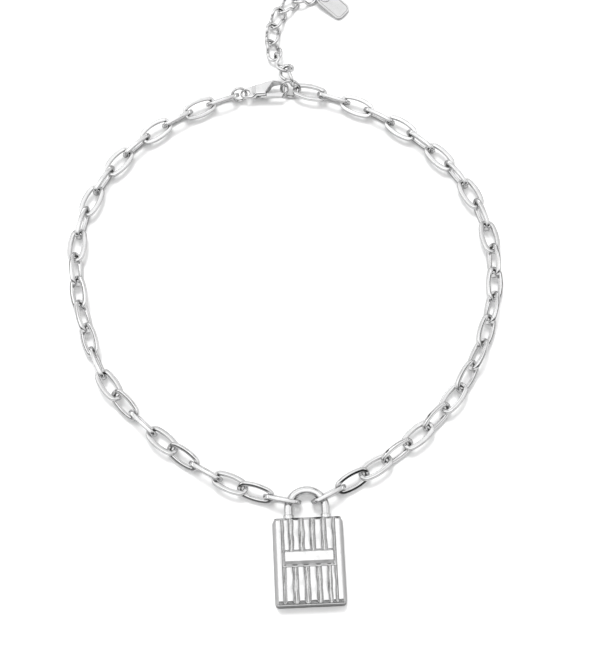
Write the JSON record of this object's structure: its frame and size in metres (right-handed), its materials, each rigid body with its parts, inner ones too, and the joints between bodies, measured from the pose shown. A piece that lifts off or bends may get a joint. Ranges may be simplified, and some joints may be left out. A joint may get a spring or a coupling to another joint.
{
  "type": "padlock pendant necklace",
  "caption": "Padlock pendant necklace of polished silver-coloured metal: ribbed padlock on heavy oval links, hook clasp, extender chain and tag.",
  "frame": {"origin": "middle of the padlock's flat back, on the surface that the necklace lies on", "axes": "+Y up through the padlock's shackle towards the clasp, +Z up off the surface, +X to the right seen from above"},
  "size_m": [0.1275, 0.1959, 0.008],
  "materials": {
    "casting": "polished silver-coloured plating with shallow handling marks",
    "links": "polished plated wire",
    "fittings": "polished plated clasp, rings and tag"
  },
  "bodies": {
    "necklace": {"padlock_body": "casting", "padlock_shackle": "casting", "chain_left": "links", "chain_right": "links", "clasp_ring": "fittings", "clasp_body": "fittings", "end_ring": "fittings", "extender_chain": "links", "tag_ring": "fittings", "tag": "fittings"},
    "lever": {"clasp_lever": "fittings"}
  },
  "joints": [
    {"name": "lever_hinge", "type": "hinge", "parent": "necklace", "child": "lever", "pos_m": [-0.00812, 0.14658, 0.00294], "axis": [0, 0, 1], "range_deg": [0, 7], "stiffness_Nm_per_rad": 0.005}
  ]
}
